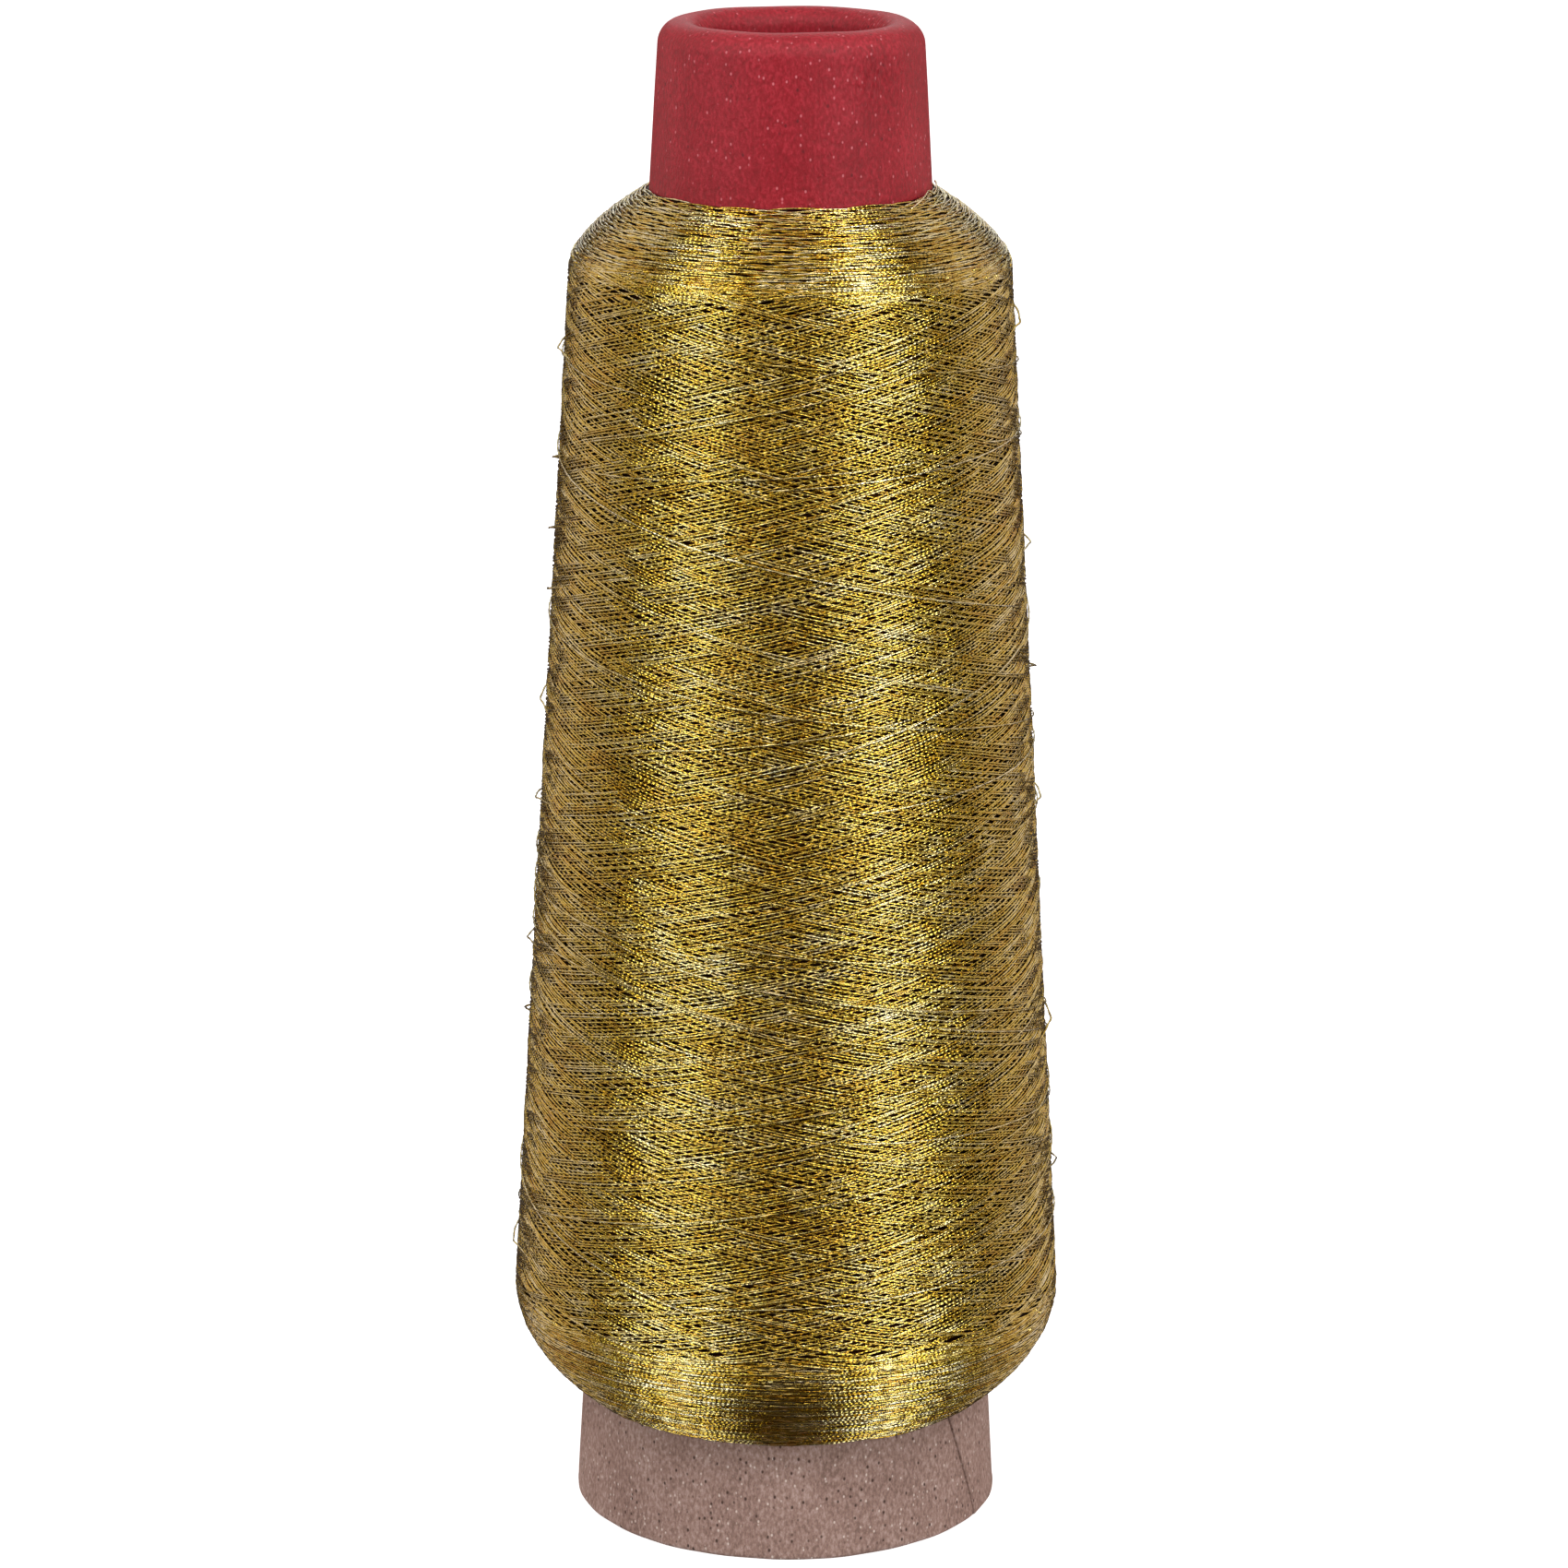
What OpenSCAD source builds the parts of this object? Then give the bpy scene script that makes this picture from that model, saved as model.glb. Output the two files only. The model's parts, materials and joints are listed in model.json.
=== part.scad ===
// Cone of metallic embroidery thread: a laminated paper cone with a dyed,
// inward-curled nose, cross-wound with thread that tapers off at both ends.
// Millimetres, +Z up along the cone's axis, origin at the centre of the base.

/* [Paper cone] */
// Height of the cone
cone_h = 170; // [150:1:185]
// Outer diameter of the base
base_d = 48.4; // [44:0.1:56]
// Angle between the wall and the axis
half_angle = 3.27; // [2.5:0.01:3.4]
// Thickness of one ply of board
ply_t = 0.55; // [0.3:0.05:0.6]
// Rounding of the base's outer edge
base_round = 0.5; // [0.2:0.05:0.5]

/* [Nose] */
// Diameter of the hole in the nose
hole_d = 19.8; // [19:0.1:20.4]
// Radius that the nose's outer edge is curled to
curl_r = 2.6; // [2.2:0.05:2.8]
// Height at which the curled-in lip ends
lip_z = 162; // [158:0.5:163]
// Height at which the dye ends, under the thread
dye_z = 146; // [140:0.5:148]

/* [Lap seam] */
// Width of the gap between the outer ply's edges
seam_w = 0.15; // [0.1:0.05:0.3]
// Direction of the seam, from the front towards +X
seam_azimuth = 58; // [0:1:360]
// Slant of the seam from the wall's straight line
seam_slant = 21; // [0:1:30]
// Length of open seam, from the base up to under the thread
seam_len = 16; // [15:1:20]

/* [Thread package] */
// Depth of thread on the wall, up to the bedded turns
build = 8; // [4:0.1:9]
// Height at which the thread's lower end meets the wall
low_z = 13.7; // [10:0.1:20]
// Height of the lower taper
low_taper = 11.8; // [8:0.1:14]
// Height at which the thread's upper end meets the wall
high_z = 151.5; // [149:0.1:154]
// Height of the upper shoulder
high_taper = 8.3; // [6:0.1:10]
// Number of layers that the package is split into
layers = 5; // [5:1:5]

/* [Thread] */
// Diameter of the thread
thread_d = 0.22; // [0.2:0.01:0.3]
// Height that one turn of thread climbs
turn_rise = 42; // [20:1:50]
// Furthest that a slack turn stands off the package
slack = 0.5; // [0.2:0.05:0.8]

/* [Hidden] */

board_grey = "#96807A";
board_pale = "#A8968C";
dye_red = "#A22C36";
gold_light = "#C8A63C";
gold_dark = "#8A6A2C";

arc_steps = 12;              // segments in a quarter circle of a revolved outline
end_steps = 4;               // segments along a layer's tapered end
low_power = 2;               // the lower taper is a parabola
high_power = 1.7;            // the upper shoulder is a little hollow
strand_sides = 6;
strand_step = 7.5;           // degrees of turn between two rings of a strand
chord_lift = 0.07;           // keeps a strand's straight chords clear of the round package
clear = 0.01;                // gap between strands that cross

wall_cos = cos(half_angle);
hole_r = hole_d / 2;
curl_z = cone_h - curl_r;
// The curl's centre lies one curl radius inside the sloping wall.
curl_x = wall_r(curl_z) - curl_r / wall_cos;
lip_r = curl_x - hole_r;     // radius of the curl's inner half

// Directions (from the front towards +X) and heights of the turns that hang slack.
slack_turns = [[-88, 121.5], [-88, 113.5], [-84, 107], [-86, 58], [88, 137.5], [88, 57]];
slack_span = 26;             // degrees of turn that a slack turn covers

// Outer radius of the cone's wall at a height, or of a face at a depth inside it.
function wall_r(z, depth = 0) = base_d / 2 - z * tan(half_angle) - depth / wall_cos;

// Radius of the wound package at a height, with all its bedded turns.
function low_gap(z) = z < low_z + low_taper ? pow((low_z + low_taper - z) / low_taper, low_power) : 0;
function high_gap(z) =
    z > high_z - high_taper ? pow((z - high_z + high_taper) / high_taper, high_power) : 0;
function package_r(z) = wall_r(z) + build * (1 - low_gap(z) - high_gap(z));

// Heights at which a given depth of thread begins and ends.
function start_z(depth) = low_z + low_taper * (1 - pow(1 - depth / build, 1 / low_power));
function stop_z(depth) = high_z - high_taper * (1 - pow(1 - depth / build, 1 / high_power));

function arc(x, z, r, from, to) = [
    for (i = [0:arc_steps]) let (a = from + (to - from) * i / arc_steps) [x + r * cos(a), z + r * sin(a)]
];
function reversed(list) = [for (i = [len(list) - 1:-1:0]) list[i]];

// One face of the board from a height up the wall, over the curl and down the lip.
function board_face(from_z, depth) = concat(
    [[wall_r(from_z, depth), from_z]],
    arc(curl_x, curl_z, curl_r - depth, half_angle, 90),
    arc(curl_x, cone_h - lip_r, lip_r - depth, 90, 180),
    [[hole_r + depth, lip_z]]
);

// A ply that runs the whole way, between two depths below the board's outer face.
module ply(from_z, depth) {
    rotate_extrude($fn = 96)
        polygon(concat(board_face(from_z, depth), reversed(board_face(from_z, depth + ply_t))));
}

// A direction is turned from the front (-Y) towards +X.
module towards(azimuth) {
    rotate([0, 0, azimuth - 90]) children();
}

module inner_ply() {
    color(board_pale) ply(0, 2 * ply_t);
}

module middle_ply() {
    color(board_grey) ply(0, ply_t);
}

// The bare part of the outer ply, with its rounded base edge and slanted lap seam.
module outer_ply() {
    color(board_grey)
        difference() {
            rotate_extrude($fn = 96)
                polygon(concat(
                    [[wall_r(0, ply_t), 0]],
                    arc(wall_r(0) - base_round, base_round, base_round, -90, 0),
                    [[wall_r(dye_z), dye_z], [wall_r(dye_z, ply_t), dye_z]]
                ));
            towards(seam_azimuth)
                rotate([-seam_slant, 0, 0])
                    translate([0, -seam_w / 2, -seam_len])
                        cube([base_d, seam_w, 2 * seam_len]);
        }
}

// The outer ply's dyed end: up the nose, round the curl and down inside the hole.
module dyed_nose() {
    color(dye_red) ply(dye_z, 0);
}

// One layer of the package, between two depths of thread. Each layer is wound
// over a shorter length than the one under it, which leaves the tapered ends.
module thread_layer(number) {
    inner = build * (number - 1) / layers;
    outer = build * number / layers;
    depths = [for (i = [0:end_steps]) inner + (outer - inner) * i / end_steps];
    color(number % 2 == 1 ? gold_light : gold_dark)
        rotate_extrude($fn = 96)
            polygon(concat(
                [for (d = depths) [wall_r(start_z(d)) + d, start_z(d)]],
                [for (d = reversed(depths)) [wall_r(stop_z(d)) + d, stop_z(d)]]
            ));
}

function unit(v) = v / norm(v);

// A round strand swept along a path. Its rings stay square to the path.
module strand(path) {
    last = len(path) - 1;
    sides = strand_sides;
    rings = [
        for (i = [0:last])
            let (
                along = unit(path[min(i + 1, last)] - path[max(i - 1, 0)]),
                out = unit([path[i].x, path[i].y, 0]),
                across = unit(cross(along, out)),
                lift = cross(across, along)
            )
            for (k = [0:sides - 1])
                path[i] + thread_d / 2 * (cos(360 * k / sides) * lift + sin(360 * k / sides) * across)
    ];
    walls = [
        for (i = [0:last - 1])
            for (k = [0:sides - 1])
                let (a = i * sides + k, b = i * sides + (k + 1) % sides)
                    each [[a, a + sides, b], [b, a + sides, b + sides]]
    ];
    polyhedron(
        points = rings,
        faces = concat(walls, [[for (k = [0:sides - 1]) k]],
            [[for (k = [sides - 1:-1:0]) last * sides + k]])
    );
}

// A point above the package's surface, given by its direction, height and lift.
function over_package(azimuth, z, lift) =
    let (r = package_r(z) + thread_d / 2 + chord_lift + lift) [r * sin(azimuth), -r * cos(azimuth), z];

// A turn's path over the package's straight stretch. lay is 1 or -1.
function traverse(start, lay, lift) =
    let (
        bottom = low_z + low_taper,
        top = high_z - high_taper,
        count = floor((top - bottom) / turn_rise * 360 / strand_step)
    )
    [for (i = [0:count]) over_package(start + lay * i * strand_step, bottom + (top - bottom) * i / count, lift)];

module last_traverse_up() {
    color(gold_light) strand(traverse(20, 1, 0));
}

module last_traverse_down() {
    color(gold_light) strand(traverse(-35, -1, thread_d + clear));
}

// A turn that has slackened and stands off the package in a low arch.
module slack_turn(number) {
    place = slack_turns[number - 1];
    first_lift = 2 * (thread_d + clear);
    rise = turn_rise * slack_span / 360;
    rings = 14;
    color(gold_light)
        strand([
            for (i = [0:rings])
                let (s = i / rings - 0.5)
                    over_package(place[0] + slack_span * s, place[1] + rise * s,
                        first_lift + slack * pow(cos(180 * s), 2))
        ]);
}

// The strand that leaves the nose at the right and crosses to the front of the shoulder.
module nose_strand() {
    start = [wall_r(high_z + 1) + thread_d, 0, high_z + 1];
    finish = over_package(50, high_z - 2, 0);
    steps = 6;
    bulge = 1.6;
    color(gold_light)
        strand([
            for (i = [0:steps])
                let (s = i / steps, p = start + (finish - start) * s, out = unit([p.x, p.y, 0]))
                    p + bulge * sin(180 * s) * out
        ]);
}

inner_ply();
middle_ply();
outer_ply();
dyed_nose();
thread_layer(1);  // thread_layer_1
thread_layer(2);  // thread_layer_2
thread_layer(3);  // thread_layer_3
thread_layer(4);  // thread_layer_4
thread_layer(5);  // thread_layer_5
last_traverse_up();
last_traverse_down();
slack_turn(1);  // slack_turn_1
slack_turn(2);  // slack_turn_2
slack_turn(3);  // slack_turn_3
slack_turn(4);  // slack_turn_4
slack_turn(5);  // slack_turn_5
slack_turn(6);  // slack_turn_6
nose_strand();
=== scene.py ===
"""Cone of metallic embroidery thread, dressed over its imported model.

Everything is in metres, with +Z up the cone's axis and the origin at the centre of
the base. -Y is the front and +X the right. Places and main sizes are read from the
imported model's boxes and mounts. Finer sizes are named fields in millimetres.
"""

import json
import logging
import math
from dataclasses import dataclass, field
from enum import Enum

import bpy
import numpy as np
from mathutils import Matrix, Vector

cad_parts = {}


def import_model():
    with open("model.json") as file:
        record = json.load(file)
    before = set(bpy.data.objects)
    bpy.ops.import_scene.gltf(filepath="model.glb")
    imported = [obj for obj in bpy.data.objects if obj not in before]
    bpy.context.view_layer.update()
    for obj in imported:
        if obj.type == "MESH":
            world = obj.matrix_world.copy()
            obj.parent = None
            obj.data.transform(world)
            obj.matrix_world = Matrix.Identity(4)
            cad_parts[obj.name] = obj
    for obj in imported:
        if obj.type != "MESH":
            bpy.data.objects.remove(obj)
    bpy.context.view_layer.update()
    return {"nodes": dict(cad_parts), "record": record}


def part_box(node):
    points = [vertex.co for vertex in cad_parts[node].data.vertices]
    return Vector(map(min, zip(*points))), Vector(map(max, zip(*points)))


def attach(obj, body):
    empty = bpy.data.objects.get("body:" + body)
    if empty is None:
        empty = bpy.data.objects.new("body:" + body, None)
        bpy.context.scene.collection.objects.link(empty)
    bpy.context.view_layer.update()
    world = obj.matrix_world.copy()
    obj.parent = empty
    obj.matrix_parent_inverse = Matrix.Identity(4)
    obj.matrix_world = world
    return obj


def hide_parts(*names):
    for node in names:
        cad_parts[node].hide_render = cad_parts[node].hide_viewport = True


Tree = bpy.types.NodeTree
Socket = bpy.types.NodeSocket
Material = bpy.types.Material

MM = 0.001
TURN = 2.0 * math.pi
# Millimetres that the thread climbs for each radian it turns round the package.
CLIMB_MM = 42.0 / TURN
# Corners of a strand's outline. The film is flat, so four are enough.
STRAND_SIDES = 4
LOG = logging.getLogger("thread_cone")


# ---- small helpers


def linear(code: str) -> tuple[float, float, float, float]:
    """Turn an sRGB hex colour into linear RGBA.

    Args:
        code: Six hex digits, such as "C8A63C".

    Returns:
        Linear red, green, blue and an alpha of 1.
    """
    parts = [int(code[i : i + 2], 16) / 255.0 for i in (0, 2, 4)]
    rgb = [c / 12.92 if c <= 0.04045 else ((c + 0.055) / 1.055) ** 2.4 for c in parts]
    return (*rgb, 1.0)


def fill(tree: Tree, node: bpy.types.Node, inputs: dict) -> None:
    """Set a node's inputs.

    Args:
        tree: The node's tree.
        node: The node.
        inputs: Socket names or numbers, each with a value or an output socket.
    """
    for name, value in inputs.items():
        if isinstance(value, Socket):
            tree.links.new(value, node.inputs[name])
        else:
            node.inputs[name].default_value = value


def add_node(
    tree: Tree, kind: str, inputs: dict | None = None, **settings: object
) -> bpy.types.Node:
    """Add a node with its settings, input values and links.

    Args:
        tree: The node tree to add to.
        kind: The node's type name.
        inputs: What to fill its inputs with.
        **settings: Properties to set on the node.

    Returns:
        The new node.
    """
    node = tree.nodes.new(kind)
    for name, value in settings.items():
        setattr(node, name, value)
    fill(tree, node, inputs or {})
    return node


def colour_ramp(tree: Tree, factor: Socket, stops: list[tuple[float, str]]) -> Socket:
    """Map a factor to colours.

    Args:
        tree: The node tree to add to.
        factor: The socket that drives the ramp.
        stops: Positions from 0 to 1, each with an sRGB hex colour.

    Returns:
        The ramp's colour output.
    """
    ramp = add_node(tree, "ShaderNodeValToRGB", {"Fac": factor})
    elements = ramp.color_ramp.elements
    while len(elements) < len(stops):
        elements.new(0.5)
    for element, (position, code) in zip(elements, stops):
        element.position = position
        element.color = linear(code)
    return ramp.outputs["Color"]


def maths(tree: Tree, operation: str, *values: Socket | float) -> Socket:
    """The result of one sum on sockets and numbers."""
    inputs = dict(enumerate(values))
    return add_node(tree, "ShaderNodeMath", inputs, operation=operation).outputs[0]


def spread(
    tree: Tree, value: Socket, given: tuple[float, float],
    wanted: tuple[float, float] = (0.0, 1.0),
) -> Socket:
    """Stretch a value's given range over the wanted one, and hold it there.

    Args:
        tree: The node tree to add to.
        value: The socket to stretch.
        given: The two ends of its range.
        wanted: What the two ends become.

    Returns:
        The stretched value.
    """
    ends = {"From Min": given[0], "From Max": given[1], "To Min": wanted[0], "To Max": wanted[1]}
    return add_node(tree, "ShaderNodeMapRange", {"Value": value, **ends}).outputs["Result"]


def noise(
    tree: Tree, place: Socket, size_mm: float, detail: float, roughness: float = 0.5
) -> Socket:
    """Soft noise with lumps of a given size.

    Args:
        tree: The node tree to add to.
        place: Coordinates in metres.
        size_mm: Size of the largest lumps.
        detail: How many finer scales are added.
        roughness: How strong the finer scales are.

    Returns:
        The noise, from 0 to 1.
    """
    inputs = {"Vector": place, "Scale": 1.0 / (size_mm * MM), "Detail": detail,
              "Roughness": roughness}
    return add_node(tree, "ShaderNodeTexNoise", inputs).outputs["Fac"]


def emboss(
    tree: Tree, shader: bpy.types.Node, height: Socket, strength: float, depth_mm: float
) -> None:
    """Give a shader fine relief.

    Args:
        tree: The node tree to add to.
        shader: The Principled node.
        height: The relief's height.
        strength: How strong it is.
        depth_mm: How deep it is.
    """
    inputs = {"Height": height, "Strength": strength, "Distance": depth_mm * MM}
    bump = add_node(tree, "ShaderNodeBump", inputs)
    fill(tree, shader, {"Normal": bump.outputs["Normal"]})


def object_place(tree: Tree) -> Socket:
    """Coordinates in the object's own metres."""
    return add_node(tree, "ShaderNodeTexCoord").outputs["Object"]


def new_material(name: str) -> tuple[Material, Tree, bpy.types.Node]:
    """Make a material with only a Principled shader.

    Args:
        name: The material's name.

    Returns:
        The material, its node tree and its Principled node.
    """
    material = bpy.data.materials.new(name)
    material.use_nodes = True
    tree = material.node_tree
    tree.nodes.clear()
    shader = add_node(tree, "ShaderNodeBsdfPrincipled")
    add_node(tree, "ShaderNodeOutputMaterial", {"Surface": shader.outputs["BSDF"]})
    return material, tree, shader


def mesh_piece(
    name: str, points: np.ndarray, quads: np.ndarray, material: Material
) -> bpy.types.Object:
    """Make a smooth-shaded object of quads.

    Args:
        name: The object's name.
        points: Vertex places in metres, one row each.
        quads: Vertex numbers, four to a row.
        material: The object's material.

    Returns:
        The new object, linked to the scene.
    """
    mesh = bpy.data.meshes.new(name)
    mesh.vertices.add(len(points))
    mesh.vertices.foreach_set("co", np.ascontiguousarray(points, np.float32).ravel())
    mesh.loops.add(quads.size)
    mesh.loops.foreach_set("vertex_index", np.ascontiguousarray(quads, np.int32).ravel())
    mesh.polygons.add(len(quads))
    mesh.polygons.foreach_set("loop_start", np.arange(0, quads.size, 4, dtype=np.int32))
    mesh.update(calc_edges=True)
    mesh.shade_smooth()
    mesh.materials.append(material)
    piece = bpy.data.objects.new(name, mesh)
    bpy.context.scene.collection.objects.link(piece)
    return piece


def vertex_places(mesh: bpy.types.Mesh) -> np.ndarray:
    """A mesh's vertex places in millimetres, one row each."""
    places = np.zeros(len(mesh.vertices) * 3, np.float32)
    mesh.vertices.foreach_get("co", places)
    return places.reshape(-1, 3) / MM


def push_out(mesh: bpy.types.Mesh, out: np.ndarray, up: np.ndarray | float = 0.0) -> None:
    """Move a mesh's vertices away from the axis and up.

    Args:
        mesh: The mesh.
        out: Distance away from the axis for each vertex, in millimetres.
        up: Distance up, for each vertex or for all.
    """
    places = vertex_places(mesh)
    angle = np.arctan2(places[:, 0], -places[:, 1])
    places[:, 0] += out * np.sin(angle)
    places[:, 1] -= out * np.cos(angle)
    places[:, 2] += up
    mesh.vertices.foreach_set("co", (places * MM).astype(np.float32).ravel())
    mesh.update()


def settle(piece: bpy.types.Object, slot: str, *nodes: str) -> None:
    """Let a piece ride on the cone and stand for CAD nodes.

    Args:
        piece: The finished piece.
        slot: The record's material slot. Not used.
        *nodes: The CAD nodes that the piece replaces.
    """
    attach(piece, "root")
    if nodes:
        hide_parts(*nodes)
    LOG.info("%s: %d faces, replaces %s", piece.name, len(piece.data.polygons), nodes or "nothing")


def dress_node(node: bpy.types.Object, material: Material) -> None:
    """Give a CAD node its finished material in every slot."""
    for slot in node.material_slots:
        slot.material = material
    LOG.info("%s: dressed in %s", node.name, material.name)


def unit_rows(vectors: np.ndarray) -> np.ndarray:
    """Scale each row to a length of 1."""
    return vectors / np.linalg.norm(vectors, axis=1, keepdims=True)


def waver(
    turned: np.ndarray, slow: float, fast: float, random: np.random.Generator
) -> np.ndarray:
    """Add up four waves of random size, rate and start.

    Args:
        turned: Angles along a strand, in radians.
        slow: Slowest rate, in waves per radian.
        fast: Fastest rate.
        random: The seeded source of irregularity.

    Returns:
        A wavering value of about -1.5 to 1.5 for each angle.
    """
    return sum(
        random.uniform(0.3, 1.0) * np.sin(turned * rate + random.uniform(0, TURN))
        for rate in random.uniform(slow, fast, 4)
    )


# ---- the cone's shape


@dataclass(frozen=True)
class ConeShape:
    """The outlines of the paper cone and of the thread on it, in millimetres."""

    base_r: float
    slope: float
    height: float
    hole_r: float
    dye_z: float
    low_z: float
    high_z: float
    ply: float = 0.55
    curl_r: float = 2.6
    lip_z: float = 162.0
    thread_r: float = 0.12
    base_round: float = 0.5
    build: float = 8.0
    low_taper: float = 11.8
    high_taper: float = 8.3
    low_power: float = 2.0
    high_power: float = 1.7

    @classmethod
    def from_frame(cls, record: dict) -> "ConeShape":
        """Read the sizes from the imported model.

        Args:
            record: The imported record.

        Returns:
            The cone's shape.
        """
        outer = [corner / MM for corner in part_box("outer_ply")]
        nose = [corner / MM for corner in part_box("dyed_nose")]
        layer = [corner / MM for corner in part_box("thread_layer_1")]
        hole = next(m for m in record["mounts"] if m["name"] == "nose_hole")
        base_r = outer[1].x
        dye_z = nose[0].z
        return cls(
            base_r=base_r,
            slope=(base_r - nose[1].x) / dye_z,
            height=nose[1].z,
            hole_r=hole["dims"]["r_mm"],
            dye_z=dye_z,
            low_z=layer[0].z,
            high_z=layer[1].z,
        )

    def wall_r(self, z: np.ndarray | float, depth: float = 0.0) -> np.ndarray | float:
        """Radius of the board's outer face, or of a face at a depth inside it."""
        return self.base_r - z * self.slope - depth * math.hypot(1.0, self.slope)

    def package_r(self, z: np.ndarray) -> np.ndarray:
        """Radius of the bedded thread at a height.

        Args:
            z: Heights.

        Returns:
            Radii, which fall to the board's at both ends of the thread.
        """
        low = np.clip((self.low_z + self.low_taper - z) / self.low_taper, 0.0, 1.0)
        high = np.clip((z - self.high_z + self.high_taper) / self.high_taper, 0.0, 1.0)
        depth = self.build * (1.0 - low**self.low_power - high**self.high_power)
        return self.wall_r(z) + depth

    def over_package(self, angle: np.ndarray, z: np.ndarray, lift: np.ndarray) -> np.ndarray:
        """Places above the bedded thread, square to its surface.

        Args:
            angle: Directions in radians, from the front towards the right.
            z: Heights of the points of surface below.
            lift: Distances out from the surface.

        Returns:
            One row of x, y and z for each point.
        """
        step = 0.05
        lean = (self.package_r(z + step) - self.package_r(z - step)) / (2.0 * step)
        flat = 1.0 / np.hypot(1.0, lean)
        height = z - lift * lean * flat
        on_board = self.wall_r(height) + self.thread_r
        radius = np.maximum(self.package_r(z) + lift * flat, on_board)
        return np.column_stack([radius * np.sin(angle), -radius * np.cos(angle), height])

    def board_face(
        self, from_z: float, depth: float, wall_rows: int, steps: int = 16
    ) -> np.ndarray:
        """One face of the board, up the wall, over the curl and down the lip.

        Args:
            from_z: Height to start at.
            depth: How deep the face lies below the board's outer face.
            wall_rows: Points up the straight wall, with the curl's first one.
            steps: Points in each quarter circle.

        Returns:
            Rows of radius and height.
        """
        tilt = math.atan(self.slope)
        centre_z = self.height - self.curl_r
        centre_r = self.wall_r(centre_z, self.curl_r)
        lip_r = centre_r - self.hole_r
        wall_z = np.linspace(from_z, centre_z, wall_rows)[:-1]
        wall = np.column_stack([self.wall_r(wall_z, depth), wall_z])
        outer = np.linspace(tilt, math.pi / 2, steps)
        outer_arc = np.column_stack([
            centre_r + (self.curl_r - depth) * np.cos(outer),
            centre_z + (self.curl_r - depth) * np.sin(outer),
        ])
        inner = np.linspace(math.pi / 2, math.pi, steps)[1:]
        inner_arc = np.column_stack([
            centre_r + (lip_r - depth) * np.cos(inner),
            self.height - lip_r + (lip_r - depth) * np.sin(inner),
        ])
        lip_z = np.linspace(self.height - lip_r, self.lip_z, steps // 2)[1:]
        lip = np.column_stack([np.full_like(lip_z, self.hole_r + depth), lip_z])
        return np.vstack([wall, outer_arc, inner_arc, lip])


# ---- finishes


@dataclass(frozen=True)
class MetallisedFilm:
    """Slit polyester film, vapour-coated with aluminium and lacquered gold.

    The film is wrapped round a core yarn, so a strand glints in short dashes where a
    wrap faces a lamp, and looks bronze where it faces the dark. Lengths are in
    millimetres.
    """

    name: str = "gold_metallised_film"
    bronze: str = "CCA22C"
    gold: str = "DEC652"
    pale: str = "F4ECBE"
    wrap_mm: float = 0.55
    wrap_share: float = 0.3
    patch_mm: float = 3.0
    crinkle_mm: float = 0.28
    relief_mm: float = 0.036
    smoothest: float = 0.10
    roughest: float = 0.20

    def material(self) -> Material:
        """Make the film's material.

        Returns:
            A material that reads the strands' "tone" and "along" attributes.
        """
        material, tree, shader = new_material(self.name)
        tone, along = (
            add_node(tree, "ShaderNodeAttribute", attribute_name=name).outputs["Fac"]
            for name in ("tone", "along")
        )
        place = object_place(tree)
        # The lacquer's depth wanders a little, as the film was slit from a wide sheet.
        patch = noise(tree, place, self.patch_mm, 3.0)
        shade = maths(tree, "MULTIPLY", maths(tree, "ADD", tone, patch), 0.5)
        stops = [(0.25, self.bronze), (0.5, self.gold), (0.78, self.pale)]
        # Each wrap is a low ridge across the strand. Uneven tension crinkles the film too.
        ridge = maths(tree, "SINE", maths(tree, "MULTIPLY", along, TURN / self.wrap_mm))
        crinkle = noise(tree, place, self.crinkle_mm, 2.0)
        relief = maths(tree, "MULTIPLY_ADD", ridge, self.wrap_share, crinkle)
        emboss(tree, shader, relief, 1.0, self.relief_mm)
        fill(tree, shader, {
            "Base Color": colour_ramp(tree, shade, stops),
            "Roughness": spread(tree, patch, (0.0, 1.0), (self.smoothest, self.roughest)),
            "Metallic": 1.0, "Coat Weight": 0.8, "Coat Roughness": 0.08,
        })
        return material


@dataclass(frozen=True)
class BeddedThread:
    """Thread that lies under the outer turns, with little light on it.

    It is the same gold film, but its colour is painted shade: dark brown where the outer strands
    shade it, with painted highlight lines along the turns.
    """

    name: str = "shaded_bedded_thread"
    # Colours of the painted shade and of the painted highlight lines along the turns.
    shade: str = "1E0A02"
    line: str = "3A2008"
    pitch_mm: float = 0.38
    warp_mm: float = 9.0
    warp_turn: float = 60.0
    relief_mm: float = 0.08
    roughness: float = 0.5

    def material(self) -> Material:
        """Make the shaded thread's material.

        Returns:
            A dark material with near-level lines at the thread's spacing.
        """
        material, tree, shader = new_material(self.name)
        place = object_place(tree)
        warp = noise(tree, place, self.warp_mm, 2.0)
        height = add_node(tree, "ShaderNodeSeparateXYZ", {0: place}).outputs["Z"]
        level = maths(tree, "MULTIPLY", height, TURN / (self.pitch_mm * MM))
        wave = maths(tree, "SINE", maths(tree, "MULTIPLY_ADD", warp, self.warp_turn, level))
        lit = spread(tree, wave, (-1.0, 1.0))
        # Painted shade and painted highlights: the dark brown stands in for the outer strands'
        # shadow, and the lighter lines for glints along the turns.
        colour = colour_ramp(tree, lit, [(0.55, self.shade), (1.0, self.line)])
        emboss(tree, shader, wave, 0.6, self.relief_mm)
        fill(tree, shader, {"Base Color": colour, "Roughness": self.roughness, "Metallic": 1.0})
        return material


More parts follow.
